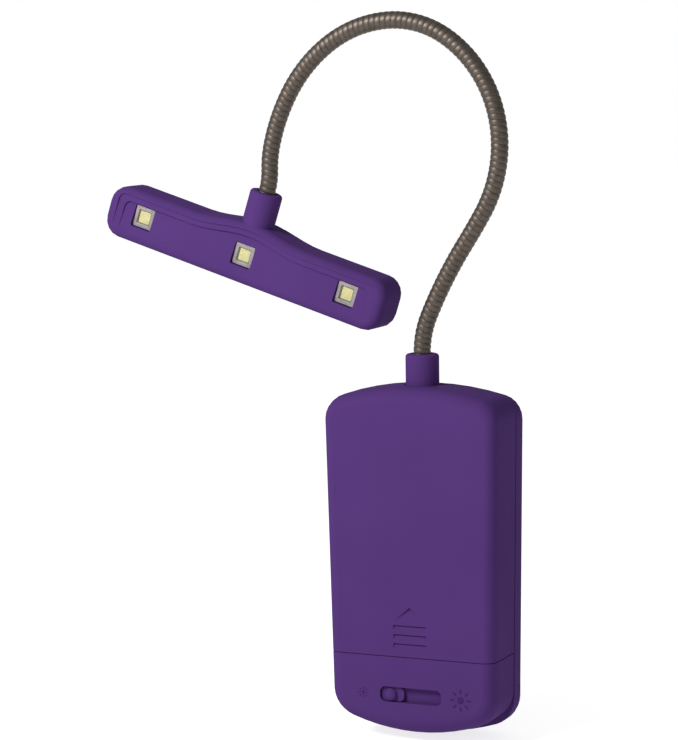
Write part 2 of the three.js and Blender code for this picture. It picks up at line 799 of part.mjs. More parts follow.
// Clip: a plate of the body's outline that turns on a pin near its top.
function addClip() {
  const lowering = (height) => (height < bodyHeight / 2 ? clipTail : clipDrop);
  const outline = (inset) => bodyOutline(inset).map((p) => new THREE.Vector2(p.x, p.y - lowering(p.y)));
  let clip = plate(outline, jawY, clipBackY, 0, clipEdgeRadius);
  const pocketBack = jawY + clipPocketDepth;
  const pocket = plate((inset) => outline(clipRim + inset), jawY - overrun, pocketBack);
  clip = clip.subtract(pocket.intersect(layer(clipPocketBottom, bodyHeight)));
  for (const side of [-1, 1]) {
    const outer = (side * pinLength) / 2;
    const [x0, x1] = [outer, outer - side * knuckleWidth].sort((a, b) => a - b);
    clip = clip.add(
      box(x0, x1, jawY + fitGap, pocketBack + bond, pinZ - knuckleHeight / 2, pinZ + knuckleHeight / 2)
    );
  }
  clip = clip.subtract(pinBore());
  const rise = Math.tan(clipMaxOpening);
  const bevelStart = pinZ + pinBoreRadius;
  const top = bodyHeight + overrun;
  clip = clip.subtract(
    prismX(
      [
        [jawY - overrun, bevelStart],
        [jawY, bevelStart],
        [jawY + rise * (top - bevelStart), top],
        [jawY - overrun, top],
      ],
      -bodyTopWidth,
      bodyTopWidth
    )
  );
  clip = clip.subtract(
    prismX(
      [
        [jawY - overrun, -clipTail - overrun],
        [jawY + leadInDepth, -clipTail - overrun],
        [jawY + leadInDepth, 0],
        [jawY, leadInHeight],
        [jawY - overrun, leadInHeight],
      ],
      -bodyTopWidth,
      bodyTopWidth
    )
  );
  clip = clip.subtract(padRecess(jawY, -1));
  piece(bookLight, "clip_plate", clip, purple);
  const pinEnd = pinLength / 2;
  piece(bookLight, "clip_pin", bar(pinRadius, [-pinEnd, pinY, pinZ], [pinEnd, pinY, pinZ], 16), steel);
}

// Torsion spring round the pin, one leg on the chassis and one on the clip.
function addClipSpring() {
  const stepsPerTurn = 8;
  const steps = Math.round(springTurns * stepsPerTurn);
  const length = springTurns * springPitch;
  const points = [new THREE.Vector3(-length / 2, pinY - springRadius, pinZ - springLeg)];
  for (let i = 0; i <= steps; i += 1) {
    const angle = Math.PI - (2 * Math.PI * i) / stepsPerTurn;
    const x = -length / 2 + (length * i) / steps;
    points.push(
      new THREE.Vector3(x, pinY + springRadius * Math.cos(angle), pinZ + springRadius * Math.sin(angle))
    );
  }
  points.push(new THREE.Vector3(length / 2, pinY + springRadius, pinZ - springLeg));
  reportLeastGap("torsion_spring", points.slice(1, -1), springWire, stepsPerTurn);
  piece(bookLight, "torsion_spring", wire(points, springWire / 2), steel);
}

// The two cover screws.
function addBodyScrews() {
  [-1, 1].forEach((side, i) => {
    const mesh = piece(bookLight, `body_screw_${i + 1}`, screw(screwLength), steel);
    mesh.position.set(side * bodyScrewX, housingBackY - seatGap, bodyScrewHeight);
  });
}

// Three cells side by side, every second one upside down, with their springs and contacts.
function addCells() {
  const cellY = plateFrontY - fitGap - cellRadius;
  const floor = trayBottom + seatGap + contactThickness + fitGap;
  const ceiling = trayTop - seatGap - contactThickness - fitGap;
  const springLength = ceiling - floor - cellLength - fitGap;
  const profile = [
    [0, 0],
    [cellRadius - cellEdge, 0],
    [cellRadius, cellEdge],
    [cellRadius, cellLength - nubHeight - cellEdge],
    [cellRadius - cellEdge, cellLength - nubHeight],
    [nubRadius, cellLength - nubHeight],
    [nubRadius, cellLength],
    [0, cellLength],
  ].map(([r, z]) => new THREE.Vector2(r, z));
  [-1, 0, 1].forEach((column, i) => {
    const upright = column !== 0;
    const x = column * cellPitch;
    const cell = new THREE.LatheGeometry(profile, 28);
    cell.rotateX(upright ? Math.PI / 2 : -Math.PI / 2);
    cell.translate(x, cellY, upright ? ceiling - cellLength : floor + cellLength);
    piece(bookLight, `cell_${i + 1}`, solidOf(cell), cellSleeve);
    addContactSpring(i + 1, x, cellY, upright ? floor : ceiling, upright ? springLength : -springLength);
  });
  const outer = cellPitch + contactWidth / 2;
  const inner = contactWidth / 2;
  const near = cellPitch - contactWidth / 2;
  const low = trayBottom + seatGap;
  const high = trayTop - seatGap - contactThickness;
  addContact("contact_bridge_lower", -outer, inner, cellY, low);
  addContact("contact_minus", near, outer, cellY, low);
  addContact("contact_plus", -outer, -near, cellY, high);
  addContact("contact_bridge_upper", -inner, outer, cellY, high);
}

// One contact plate with round corners, lying level.
function addContact(name, x0, x1, y, z) {
  const outline = roundedRectangle(x0, x1, y - contactHeight / 2, y + contactHeight / 2, contactRound, 3);
  const geometry = new THREE.ExtrudeGeometry(new THREE.Shape(outline(0)), {
    depth: contactThickness,
    bevelEnabled: false,
  });
  geometry.translate(0, 0, z);
  piece(bookLight, name, solidOf(geometry), steel);
}

// A cone-shaped contact spring that stands on a contact plate.
function addContactSpring(number, x, y, z, length) {
  const stepsPerTurn = 8;
  const steps = contactSpringTurns * stepsPerTurn;
  const direction = Math.sign(length);
  const start = z + (direction * contactSpringWire) / 2;
  const climb = length - direction * contactSpringWire;
  const points = Array.from({ length: steps + 1 }, (_, i) => {
    const share = i / steps;
    const radius = contactSpringWide + (contactSpringNarrow - contactSpringWide) * share;
    const angle = (2 * Math.PI * i) / stepsPerTurn;
    const across = radius * Math.cos(angle);
    return new THREE.Vector3(x + across, y + radius * Math.sin(angle), start + climb * share);
  });
  reportLeastGap(`contact_spring_${number}`, points, contactSpringWire, stepsPerTurn);
  piece(bookLight, `contact_spring_${number}`, wire(points, contactSpringWire / 2), steel);
}

// Knob with its block and the skirt that keeps the slot covered, at the left end of its travel.
function addSlider() {
  const middle = -knobTravel / 2;
  const blockHalf = slotHalfLength - fitGap / 2 - knobTravel / 2;
  const skirtHalf = slotHalfLength + knobTravel / 2 + skirtOverlap;
  const blockHeight = slotHalfHeight - fitGap / 2;
  const skirtFront = coverInnerY + fitGap;
  const skirtBack = skirtFront + skirtThickness;
  const blockFront = frontY + carrierSink;
  const z0 = switchHeight - slotHalfHeight - skirtOverlap;
  const z1 = switchHeight + slotHalfHeight + skirtOverlap;
  const skirt = roundedRectangle(middle - skirtHalf, middle + skirtHalf, z0, z1, skirtCorner);
  let slider = plate(skirt, skirtFront, skirtBack);
  const block = roundedRectangle(
    middle - blockHalf,
    middle + blockHalf,
    switchHeight - blockHeight,
    switchHeight + blockHeight,
    slotCorner - fitGap / 2
  );
  slider = slider.add(plate(block, blockFront, skirtFront + bond));
  const knobX = middle - knobOffset;
  const knobFront = frontY - knobStand;
  const neckOfKnob = bar(
    knobRadius,
    [knobX, knobFront + knobRadius * knobDomeShare, switchHeight],
    [knobX, blockFront + bond, switchHeight]
  );
  const dome = new THREE.SphereGeometry(knobRadius, 20, 12);
  dome.scale(1, knobDomeShare, 1);
  dome.translate(knobX, knobFront + knobRadius * knobDomeShare, switchHeight);
  slider = slider.add(neckOfKnob).add(solidOf(dome));
  const bossHalfHeight = leverHeight / 2 + bossWall;
  const bossBack = skirtBack + bossDepth;
  const boss = box(
    middle - bossHalfWidth,
    middle + bossHalfWidth,
    skirtBack - bond,
    bossBack,
    switchHeight - bossHalfHeight,
    switchHeight + bossHalfHeight
  );
  slider = slider.add(boss);
  const leverFront = bossBack - bossDepth * leverGripShare;
  slider = slider.subtract(
    box(
      middle - leverWidth / 2 - fitGap,
      middle + leverWidth / 2 + fitGap,
      leverFront - fitGap,
      bossBack + overrun,
      switchHeight - leverHeight / 2 - fitGap,
      switchHeight + leverHeight / 2 + fitGap
    )
  );
  piece(bookLight, "slider_knob", slider, purple);
  const lever = box(
    middle - leverWidth / 2,
    middle + leverWidth / 2,
    leverFront,
    leverFront + leverLength,
    switchHeight - leverHeight / 2,
    switchHeight + leverHeight / 2
  );
  piece(bookLight, "switch_lever", lever, switchBlack);
}

// Slide switch on its circuit board.
function addSwitch() {
  const boardBack = boardBackY();
  const boardFront = boardBack - boardThickness;
  const back = boardFront - seatGap;
  const front = back - switchBodyDepth;
  let body = box(
    -switchHalfLength,
    switchHalfLength,
    front,
    back,
    switchHeight - switchBodyHeight / 2,
    switchHeight + switchBodyHeight / 2
  );
  const windowHalf = knobTravel / 2 + leverWidth / 2 + fitGap;
  body = body.subtract(
    box(
      -windowHalf,
      windowHalf,
      front - overrun,
      front + switchWindowDepth,
      switchHeight - leverHeight / 2 - fitGap,
      switchHeight + leverHeight / 2 + fitGap
    )
  );
  piece(bookLight, "slide_switch", body, switchBlack);
  const board = box(-boardHalfWidth, boardHalfWidth, boardFront, boardBack, boardBottom, boardTop);
  piece(bookLight, "circuit_board", board, boardGreen);
}

// Where the neck ends, seen from its start, and its heading there, as if it were one unit long.
function neckEndShare() {
  const end = new THREE.Vector3();
  let heading = Math.PI / 2;
  for (const { lengthShare, turn } of neckArcs) {
    const bend = THREE.MathUtils.degToRad(turn) / lengthShare;
    stepAlong(end, heading, bend, lengthShare);
    heading += bend * lengthShare;
  }
  return { end, heading };
}

// What shows of the neck between its two collars: as much as lets the head hang beside it.
function neckLengthFor() {
  const { end, heading } = neckEndShare();
  const tilt = 1.5 * Math.PI - heading;
  const headMiddle = headClearance + (headLength / 2) * Math.cos(tilt);
  return (headMiddle - headCollarTop * Math.sin(tilt)) / -end.x;
}

// The neck's centre line as a function of the distance from the body's collar. Before its start
// and past its end it runs straight on, into the collars.
function neckCurve() {
  const arcs = [];
  const point = new THREE.Vector3(0, 0, collarTopZ);
  let heading = Math.PI / 2;
  let start = 0;
  for (const { lengthShare, turn } of neckArcs) {
    const length = neckLength * lengthShare;
    const bend = THREE.MathUtils.degToRad(turn) / length;
    arcs.push({ start, length, heading, bend, point: point.clone() });
    stepAlong(point, heading, bend, length);
    heading += bend * length;
    start += length;
  }
  return (at) => {
    const arc = arcs.findLast((one) => one.start <= at) ?? arcs[0];
    const past = at - arc.start;
    const inside = THREE.MathUtils.clamp(past, 0, arc.length);
    const place = arc.point.clone();
    stepAlong(place, arc.heading, arc.bend, inside);
    const direction = arc.heading + arc.bend * inside;
    const along = new THREE.Vector3(Math.cos(direction), 0, Math.sin(direction));
    place.addScaledVector(along, past - inside);
    const up = new THREE.Vector3(0, 1, 0);
    return { point: place, along, up, side: along.clone().cross(up), direction };
  };
}

// Moves a point along an arc that lies in the XZ plane.
function stepAlong(point, heading, bend, length) {
  if (bend === 0) {
    point.x += Math.cos(heading) * length;
    point.z += Math.sin(heading) * length;
    return;
  }
  point.x += (Math.sin(heading + bend * length) - Math.sin(heading)) / bend;
  point.z += (Math.cos(heading) - Math.cos(heading + bend * length)) / bend;
}

// Ribbed neck in segments. Each joint between two of them lies in the middle of its own stretch.
function addNeck(curve) {
  const pitch = neckLength / neckRibs;
  const jointAt = (k) => (neckLength * (k - 0.5)) / neckJoints;
  const endCone = (radius) => neckJointGap + radius * Math.tan(neckHalfSwing);
  for (let k = 0; k <= neckJoints; k += 1) {
    const first = k === 0;
    const last = k === neckJoints;
    const start = (radius) => (first ? -neckInBody : jointAt(k) + endCone(radius));
    const end = (radius) => (last ? neckLength + neckInHead() : jointAt(k + 1) - endCone(radius));
    const rings = [{ at: start(neckRoot), radius: neckRoot }];
    const ribs = [];
    for (let rib = Math.ceil(-neckInBody / pitch); rib * pitch < neckLength + neckInHead(); rib += 1) {
      const crest = (rib + 0.5) * pitch;
      if (crest - pitch / 4 > start(neckRadius) && crest + pitch / 2 < end(neckRadius)) {
        ribs.push(crest);
      }
    }
    for (const crest of ribs) {
      rings.push({ at: crest, radius: neckRadius });
      rings.push({ at: crest + pitch / 2, radius: neckRoot });
    }
    rings.push({ at: end(neckRoot), radius: neckRoot });
    rings.push({ at: end(neckBore), radius: neckBore });
    for (let i = ribs.length - ribsPerBoreRing; i > 1; i -= ribsPerBoreRing) {
      rings.push({ at: ribs[i], radius: neckBore });
    }
    rings.push({ at: start(neckBore), radius: neckBore });
    piece(bookLight, `neck_segment_${k + 1}`, tubeOfRings(rings, curve, neckSides), neckMetal);
  }
}

// How far the neck reaches into the head's collar.
function neckInHead() {
  return headCollarTop - headBoardHalfHeight - fitGap;
}

// A crimped ring on an end of the neck, around the Z axis, with its top at a height.
function ferrule(top) {
  const ring = bar(ferruleRadius, [0, 0, top - ferruleHeight], [0, 0, top], 24);
  const hole = neckRadius + fitGap / 2;
  return ring.subtract(bar(hole, [0, 0, top - ferruleHeight - overrun], [0, 0, top + overrun], 24));
}

// How high the head's top edge rises towards the collar, at a place along the bar.
function hump(x) {
  const share = Math.min(1, Math.abs(x) / humpHalfWidth);
  return (humpHeight * (1 + Math.cos(Math.PI * share))) / 2;
}

// An outline with the head's form: straight bottom, round corners and the hump on top.
function barOutline(halfLength, bottom, top, lowCorner, highCorner, rise = 1) {
  const quarter = Math.PI / 2;
  const humpSteps = 12;
  const crest = Array.from({ length: humpSteps + 1 }, (_, i) => {
    const x = humpHalfWidth * (1 - (2 * i) / humpSteps);
    return new THREE.Vector2(x, top + rise * hump(x));
  });
  return [
    ...arcPoints(halfLength - lowCorner, bottom + lowCorner, lowCorner, -quarter, 0, 4),
    ...arcPoints(halfLength - highCorner, top - highCorner, highCorner, 0, quarter, 5),
    ...crest,
    ...arcPoints(highCorner - halfLength, top - highCorner, highCorner, quarter, 2 * quarter, 5),
    ...arcPoints(lowCorner - halfLength, bottom + lowCorner, lowCorner, 2 * quarter, 3 * quarter, 4),
  ];
}

// The head's outline, a given distance inside its edge.
function headOutline(inset) {
  return barOutline(
    headLength / 2 - inset,
    -headBelow + inset,
    headAbove - inset,
    headBottomCorner - inset,
    headTopCorner - inset
  );
}

// A shallow step in the head's face, deepest at the top and running out towards the bottom.
function faceStep(inset, endInset, depth) {
  const top = headAbove - inset;
  const outline = barOutline(headLength / 2 - endInset, stepFadeHeight, top, bond, stepCorner);
  const fall = (z) => (depth * (z - stepFadeHeight)) / (top + humpHeight - stepFadeHeight);
  return loft([
    outline.map((p) => new THREE.Vector3(p.x, headFrontY - overrun, p.y)),
    outline.map((p) => new THREE.Vector3(p.x, headFrontY + fall(p.y), p.y)),
  ]);
}

// Head shell with collar, face steps, windows and screw bosses.
function headShell() {
  const wall = (inset) => headOutline(headWall + inset);
  let shell = plate(headOutline, headFrontY, headSplitY, headFrontEdge);
  shell = shell.add(collarSolid(headAbove - headWall, headCollarTop));
  shell = shell.subtract(faceStep(outerStepInset, outerStepEndInset, stepDepth));
  shell = shell.subtract(faceStep(innerStepInset, innerStepEndInset, 2 * stepDepth));
  shell = shell.subtract(plate(wall, headFrontY + headFrontWall, headSplitY + overrun));
  const rootBottom = headAbove - headWall;
  const root = box(-collarRadius, collarRadius, 0, headBackY, rootBottom, headCollarTop);
  shell = shell.add(plate(headOutline, headFrontY, headBackY, headFrontEdge, headBackEdge).intersect(root));
  shell = shell.subtract(bar(ferruleRoom, [0, 0, 0], [0, 0, rootBottom + humpHeight], 24));
  for (const side of [-1, 1]) {
    const x = (side * headScrewSpacing) / 2;
    const back = headSplitY - headLineGap - fitGap;
    shell = shell.add(bar(screwBossRadius, [x, headFrontY + headFrontWall - bond, 0], [x, back, 0], 20));
    shell = shell.subtract(screwHole(x, headBackY, 0, headScrewLength));
  }
  shell = shell.subtract(bar(neckMouth, [0, 0, 0], [0, 0, headCollarTop + overrun], 24));
  for (const column of [-1, 0, 1]) {
    const x = column * lampPitch;
    const half = windowSize / 2;
    const opening = roundedRectangle(x - half, x + half, -half, half, windowCorner, 2);
    shell = shell.subtract(plate(opening, headFrontY - overrun, headFrontY + headFrontWall + overrun));
  }
  return shell;
}

// Back of the head: a rounded plate with a lip that sits in the shell.
function headBack() {
  const front = headSplitY + headLineGap;
  let back = plate(headOutline, front, headBackY, 0, headBackEdge);
  const lipInset = headWall + fitGap;
  const lip = plate((inset) => headOutline(lipInset + inset), front - lipDepth, front + bond);
  const lipInside = plate(
    (inset) => headOutline(lipInset + lipThickness + inset),
    front - lipDepth - overrun,
    front
  );
  back = back.add(lip.subtract(lipInside));
  const notch = collarRadius + fitGap;
  const notchBottom = headAbove - headWall - fitGap;
  back = back.subtract(box(-notch, notch, 0, headBackY + overrun, notchBottom, headCollarTop));
  for (const side of [-1, 1]) {
    back = back.subtract(screwHole((side * headScrewSpacing) / 2, headBackY, 0, headScrewLength));
  }
  return back;
}

// Lamps in their windows, on one long board.
function addLamps(head) {
  const frameFront = headFrontY + lampSink;
  const frameBack = frameFront + lampDepth;
  [-1, 0, 1].forEach((column, i) => {
    const x = column * lampPitch;
    const square = (size) => {
      const half = size / 2;
      return roundedRectangle(x - half, x + half, -half, half, windowCorner / 2, 2);
    };
    const dish = plate(square(dishSize), frameFront - overrun, frameFront + dishDepth);
    const lamp = plate(square(lampSize), frameFront, frameBack).subtract(dish);
    piece(head, `led_${i + 1}`, lamp, lampFrame);
    const back = frameFront + dishDepth - seatGap;
    const phosphor = plate(square(phosphorSize), back - phosphorThickness, back);
    piece(head, `led_phosphor_${i + 1}`, phosphor, phosphorYellow);
  });
  const boardFront = frameBack + seatGap;
  let board = box(
    -headBoardHalfLength,
    headBoardHalfLength,
    boardFront,
    boardFront + headBoardThickness,
    -headBoardHalfHeight,
    headBoardHalfHeight
  );
  for (const side of [-1, 1]) {
    const x = (side * headScrewSpacing) / 2;
    const from = [x, boardFront - overrun, 0];
    const to = [x, boardFront + headBoardThickness + overrun, 0];
    board = board.subtract(bar(screwBossRadius + fitGap, from, to, 20));
  }
  piece(head, "head_board", board, boardGreen);
}

// The head hangs on the end of the neck, square to it.
function addHead(curve) {
  const end = curve(neckLength);
  const head = new THREE.Group();
  head.rotation.y = 1.5 * Math.PI - end.direction;
  const axis = new THREE.Vector3(0, 0, headCollarTop).applyEuler(head.rotation);
  head.position.copy(end.point).sub(axis);
  bookLight.add(head);
  piece(head, "head_shell", headShell(), purple);
  piece(head, "head_back", headBack(), purple);
  addLamps(head);
  const roof = headAbove + humpHeight - headWall - seatGap;
  piece(head, "neck_ferrule_head", ferrule(roof), steel);
  [-1, 1].forEach((side, i) => {
    const mesh = piece(head, `head_screw_${i + 1}`, screw(headScrewLength), steel);
    mesh.position.set((side * headScrewSpacing) / 2, headBackY - seatGap, 0);
  });
}

addBatteryCover();
addSwitchCover();
addChassis();
addClip();
addClipSpring();
addPad("grip_pad_housing", housingBackY, 1);
addPad("grip_pad_clip", jawY, -1);
addBodyScrews();
addCells();
addSlider();
addSwitch();
piece(bookLight, "neck_ferrule_body", ferrule(collarTopZ - ferruleSeat - seatGap), steel);
const neckLength = neckLengthFor();
const curve = neckCurve();
addNeck(curve);
addHead(curve);

export default bookLight;
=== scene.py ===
"""Looks of a clip-on book light: materials, ribbed neck, brightness marks, light and camera.

Lengths are metres in the part's frame: +Z is up, the front faces -Y, and zero lies in the clip's
jaw.
"""

import json
import math

import bpy
from mathutils import Matrix, Vector

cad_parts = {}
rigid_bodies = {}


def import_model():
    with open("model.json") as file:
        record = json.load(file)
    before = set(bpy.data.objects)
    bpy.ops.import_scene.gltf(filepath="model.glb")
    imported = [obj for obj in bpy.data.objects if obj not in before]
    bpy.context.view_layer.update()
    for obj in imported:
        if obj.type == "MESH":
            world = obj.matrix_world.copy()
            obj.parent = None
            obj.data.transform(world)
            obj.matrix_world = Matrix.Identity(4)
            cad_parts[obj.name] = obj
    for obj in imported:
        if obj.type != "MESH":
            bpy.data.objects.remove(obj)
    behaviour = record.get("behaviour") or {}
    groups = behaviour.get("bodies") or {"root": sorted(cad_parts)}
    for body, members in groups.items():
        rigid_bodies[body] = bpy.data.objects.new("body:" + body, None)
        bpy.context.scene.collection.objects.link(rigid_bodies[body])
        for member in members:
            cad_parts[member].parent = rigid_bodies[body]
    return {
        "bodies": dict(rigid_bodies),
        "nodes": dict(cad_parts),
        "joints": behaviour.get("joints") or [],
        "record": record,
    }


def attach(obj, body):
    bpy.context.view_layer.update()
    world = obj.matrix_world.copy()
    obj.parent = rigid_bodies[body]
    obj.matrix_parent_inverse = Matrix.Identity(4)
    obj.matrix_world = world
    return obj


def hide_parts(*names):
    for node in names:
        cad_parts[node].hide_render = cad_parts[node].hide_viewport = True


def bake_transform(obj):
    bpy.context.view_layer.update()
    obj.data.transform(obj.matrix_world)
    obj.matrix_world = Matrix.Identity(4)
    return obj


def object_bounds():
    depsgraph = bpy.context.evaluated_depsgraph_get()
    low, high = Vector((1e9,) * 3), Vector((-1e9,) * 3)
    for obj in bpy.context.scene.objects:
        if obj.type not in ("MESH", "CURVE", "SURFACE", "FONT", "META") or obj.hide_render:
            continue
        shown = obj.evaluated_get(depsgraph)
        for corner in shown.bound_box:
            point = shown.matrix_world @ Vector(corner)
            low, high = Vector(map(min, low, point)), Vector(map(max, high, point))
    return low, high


MM = 0.001

# Camera, at the photograph's viewing angle
CAMERA_TARGET = Vector((-18.73, -8.6, 63.08)) * MM
CAMERA_DISTANCE = 620.5 * MM
CAMERA_AZIMUTH = math.radians(24.21)
CAMERA_ELEVATION = math.radians(6.69)
CAMERA_ROLL = math.radians(0.87)
CAMERA_LENS = 131.6
CAMERA_SENSOR = 36

# Light
WHITE = (1, 1, 1, 1)
AMBIENT = 0.48
BACKDROP = 1.0
KEY = 3.95
KEY_AIM = Vector((0, -9, 55)) * MM
KEY_DIRECTION = Vector((-0.4, -0.72, 0.57))
KEY_DISTANCE = 420 * MM
KEY_SIZE = 170 * MM

# Floor
FLOOR_TONE = (0.5, 0.5, 0.5, 1)
FLOOR_GLOW = 0.78
FLOOR_HALF = 3.0
FLOOR_GAP = 0.05 * MM

# Places and sizes of the light, as in the part's source
LOWEST_POINT = -21.9 * MM
BODY_FRONT = -13.35 * MM
COLLAR_TOP = Vector((0, -3.85, 67)) * MM
NECK_RADIUS = 2.0 * MM
NECK_LENGTH = 150.07 * MM
NECK_JOINTS = 8
NECK_IN_BODY = 10.2 * MM
NECK_IN_HEAD = 10.8 * MM
HEAD_TURN = math.radians(18)
LAMPS = 3
# Share of the length and turn in degrees of each arc, from the body to the head
NECK_ARCS = (
    (0.06, -23.5),
    (0.125, -10),
    (0.053, 3),
    (0.092, 25.5),
    (0.099, 29),
    (0.105, 31.5),
    (0.102, 38),
    (0.102, 31),
    (0.099, 25),
    (0.09, 17.5),
    (0.038, 13),
    (0.035, -18),
)

# Form of the neck's ribs. GROOVE_START is a share of half a rib, GROOVE_SIDE one of a turn
NECK_RIBS = 112
NECK_SIDES = 20
RIB_CROWN = 0.09 * MM
GROOVE_DEPTH = 0.1 * MM
GROOVE_START = 0.8
GROOVE_SIDE = 0.75

# Sloping walls of a lamp's dish
PHOSPHOR_HALF = 1.45 * MM
DISH_HALF = 1.66 * MM
WALL_RISE = 0.47 * MM

# Brightness marks beside the switch
MARK_HEIGHT = -10.7 * MM
SMALL_MARK_X = -11.7 * MM
LARGE_MARK_X = 12.3 * MM
SMALL_MARK_RADIUS = 1.3 * MM
LARGE_MARK_RADIUS = 2.6 * MM
MARK_RELIEF = 0.12 * MM
MARK_SINK = 0.02 * MM
MARK_SIDES = 16
MARK_LEVELS = 4
MARK_RAYS = 8
# Sizes of the dot and the rays, as shares of the mark's radius
DOT_RADIUS = 0.34
RAY_REACH = 0.78
RAY_HALF_LENGTH = 0.24
RAY_HALF_WIDTH = 0.1

# Soft edges of the solids
WELD_DISTANCE = 0.001 * MM
FLAT_ANGLE = math.radians(0.4)
SHARP_ANGLE = math.radians(38)
BEVEL_SEGMENTS = 2
BEVELS = {"body_plastic": 0.15 * MM, "lamp_frame": 0.12 * MM, "phosphor": 0.12 * MM}
OTHER_BEVEL = 0.06 * MM

# Dark and light tone of each material, and the values of the noise that give them
TONES = {
    "purple_plastic": ((0.0535, 0.0225, 0.109, 1), (0.0575, 0.0245, 0.116, 1)),
    # Darker purple of the brightness marks: painted shade, standing in for the shade inside sunk
    # marks
    "mark_painted_shade": ((0.036, 0.014, 0.076, 1), (0.041, 0.016, 0.083, 1)),
    "neck_steel": ((0.072, 0.058, 0.048, 1), (0.105, 0.088, 0.075, 1)),
    "bright_steel": ((0.5, 0.51, 0.53, 1), (0.62, 0.63, 0.65, 1)),
    "pad_rubber": ((0.018, 0.012, 0.03, 1), (0.028, 0.02, 0.045, 1)),
    "board_green": ((0.01, 0.09, 0.035, 1), (0.02, 0.13, 0.05, 1)),
    "switch_black": ((0.012, 0.012, 0.014, 1), (0.02, 0.02, 0.024, 1)),
    "cell_sleeve": ((0.14, 0.15, 0.17, 1), (0.2, 0.21, 0.23, 1)),
    "lamp_frame": ((0.17, 0.15, 0.15, 1), (0.23, 0.205, 0.21, 1)),
    "phosphor": ((0.37, 0.34, 0.16, 1), (0.44, 0.41, 0.21, 1)),
}
DARK_AT = 0.3
LIGHT_AT = 0.7

# Corners of a square, in order round it
SQUARE = ((-1, -1), (1, -1), (1, 1), (-1, 1))


def load_frame():
    """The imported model, and its box before anything is added."""
    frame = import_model()
    return frame, [list(corner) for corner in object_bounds()]


class Shader:
    """A material built round one Principled shader. Scales count a pattern's patches in a metre."""

    def __init__(self, name, **values):
        self.name = name
        self.material = bpy.data.materials.new(name)
        self.material.use_nodes = True
        self.nodes = self.material.node_tree.nodes
        self.links = self.material.node_tree.links
        self.bsdf = self.nodes["Principled BSDF"]
        self.coordinates = self.nodes.new("ShaderNodeTexCoord").outputs["Object"]
        self.relief = None
        for key, value in values.items():
            self.bsdf.inputs[key.replace("_", " ")].default_value = value

    def noise(self, scale, detail):
        """A noise pattern that is fixed to the piece."""
        node = self.nodes.new("ShaderNodeTexNoise")
        node.inputs["Scale"].default_value = scale
        node.inputs["Detail"].default_value = detail
        self.links.new(self.coordinates, node.inputs["Vector"])
        return node.outputs["Fac"]

    def mottle(self, scale, detail):
        """Spreads the base colour between the material's two tones."""
        node = self.nodes.new("ShaderNodeValToRGB")
        dark, light = node.color_ramp.elements
        dark.position = DARK_AT
        light.position = LIGHT_AT
        dark.color, light.color = TONES[self.name]
        self.links.new(self.noise(scale, detail), node.inputs["Fac"])
        self.links.new(node.outputs["Color"], self.bsdf.inputs["Base Color"])

    def roughen(self, scale, detail, low, high):
        """Spreads the roughness between two values."""
        node = self.nodes.new("ShaderNodeMapRange")
        node.inputs["To Min"].default_value = low
        node.inputs["To Max"].default_value = high
        self.links.new(self.noise(scale, detail), node.inputs["Value"])
        self.links.new(node.outputs["Result"], self.bsdf.inputs["Roughness"])

    def bump(self, scale, detail, strength, distance):
        """Adds a fine relief to those before it."""
        node = self.nodes.new("ShaderNodeBump")
        node.inputs["Strength"].default_value = strength
        node.inputs["Distance"].default_value = distance
        self.links.new(self.noise(scale, detail), node.inputs["Height"])
        if self.relief is not None:
            self.links.new(self.relief, node.inputs["Normal"])
        self.relief = node.outputs["Normal"]
        self.links.new(self.relief, self.bsdf.inputs["Normal"])


def soft_plastic(name):
    """Soft-touch plastic with a fine moulded grain and hardly any gloss."""
    shader = Shader(name, Specular_IOR_Level=0.005)
    shader.mottle(scale=60, detail=3)
    shader.roughen(scale=900, detail=2, low=0.48, high=0.62)
    shader.bump(scale=250, detail=2, strength=0.04, distance=0.2 * MM)
    shader.bump(scale=5200, detail=2, strength=0.22, distance=0.02 * MM)
    return shader.material


def plain_plastic(name):
    """Moulded plastic or lacquer of an inner piece."""
    shader = Shader(name, Specular_IOR_Level=0.5)
    shader.mottle(scale=500, detail=3)
    shader.roughen(scale=2000, detail=2, low=0.35, high=0.5)
    return shader.material


def neck_steel():
    """Dark bronze-grey wound steel with a patchy satin sheen."""
    shader = Shader("neck_steel", Metallic=0.85, Specular_IOR_Level=0.3)
    shader.mottle(scale=700, detail=3)
    shader.roughen(scale=2500, detail=2, low=0.42, high=0.54)
    shader.bump(scale=3500, detail=3, strength=0.15, distance=0.02 * MM)
    return shader.material


def bright_steel():
    """Plain bright steel of screws, springs and contacts."""
    shader = Shader("bright_steel", Metallic=1.0)
    shader.mottle(scale=900, detail=3)
    shader.roughen(scale=3000, detail=2, low=0.22, high=0.36)
    return shader.material


def pad_rubber():
    """Dark rubber of the grip pads."""
    shader = Shader("pad_rubber", Specular_IOR_Level=0.3)
    shader.mottle(scale=400, detail=3)
    shader.roughen(scale=1500, detail=2, low=0.7, high=0.9)
    shader.bump(scale=4000, detail=2, strength=0.3, distance=0.02 * MM)
    return shader.material


def lamp_frame():
    """Pale grey moulded frame of a lamp."""
    shader = Shader(
        "lamp_frame", Specular_IOR_Level=0.5, Subsurface_Weight=0.1, Subsurface_Scale=0.5 * MM
    )
    shader.mottle(scale=900, detail=2)
    shader.roughen(scale=2500, detail=2, low=0.25, high=0.4)
    return shader.material


def phosphor():
    """Pale yellow filling of a lamp."""
    shader = Shader(
        "phosphor", Specular_IOR_Level=0.5, Subsurface_Weight=0.2, Subsurface_Scale=0.5 * MM
    )
    shader.mottle(scale=1200, detail=3)
    shader.roughen(scale=2500, detail=2, low=0.2, high=0.35)
    return shader.material


def set_smooth(mesh, smooth):
    """Shades all faces of a mesh smooth or flat."""
    mesh.polygons.foreach_set("use_smooth", [smooth] * len(mesh.polygons))


